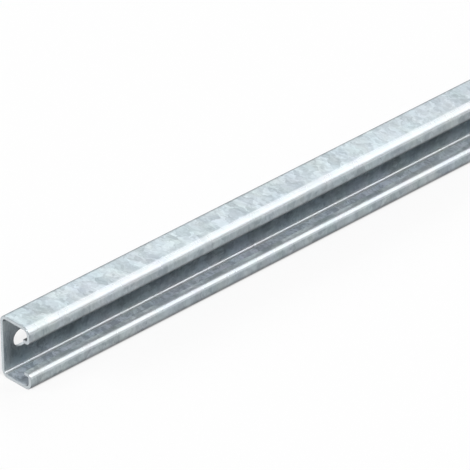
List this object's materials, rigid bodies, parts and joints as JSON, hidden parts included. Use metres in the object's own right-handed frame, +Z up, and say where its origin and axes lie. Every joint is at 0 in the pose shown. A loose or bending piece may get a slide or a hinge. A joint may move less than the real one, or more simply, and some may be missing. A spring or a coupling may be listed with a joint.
{
  "type": "slotted steel mounting channel",
  "caption": "Galvanised steel C channel with inturned lips and a row of slots through its web, for bolting up and for channel nuts.",
  "frame": {"origin": "middle of the lower flange's underside, on the floor", "axes": "+X along the channel, +Z up, the mouth faces -Y and the web's back +Y"},
  "size_m": [1, 0.024, 0.04],
  "materials": {
    "galvanised_steel": "galvanised, satin with a faint spangle"
  },
  "bodies": {
    "root": {"channel": "galvanised_steel"}
  },
  "joints": []
}
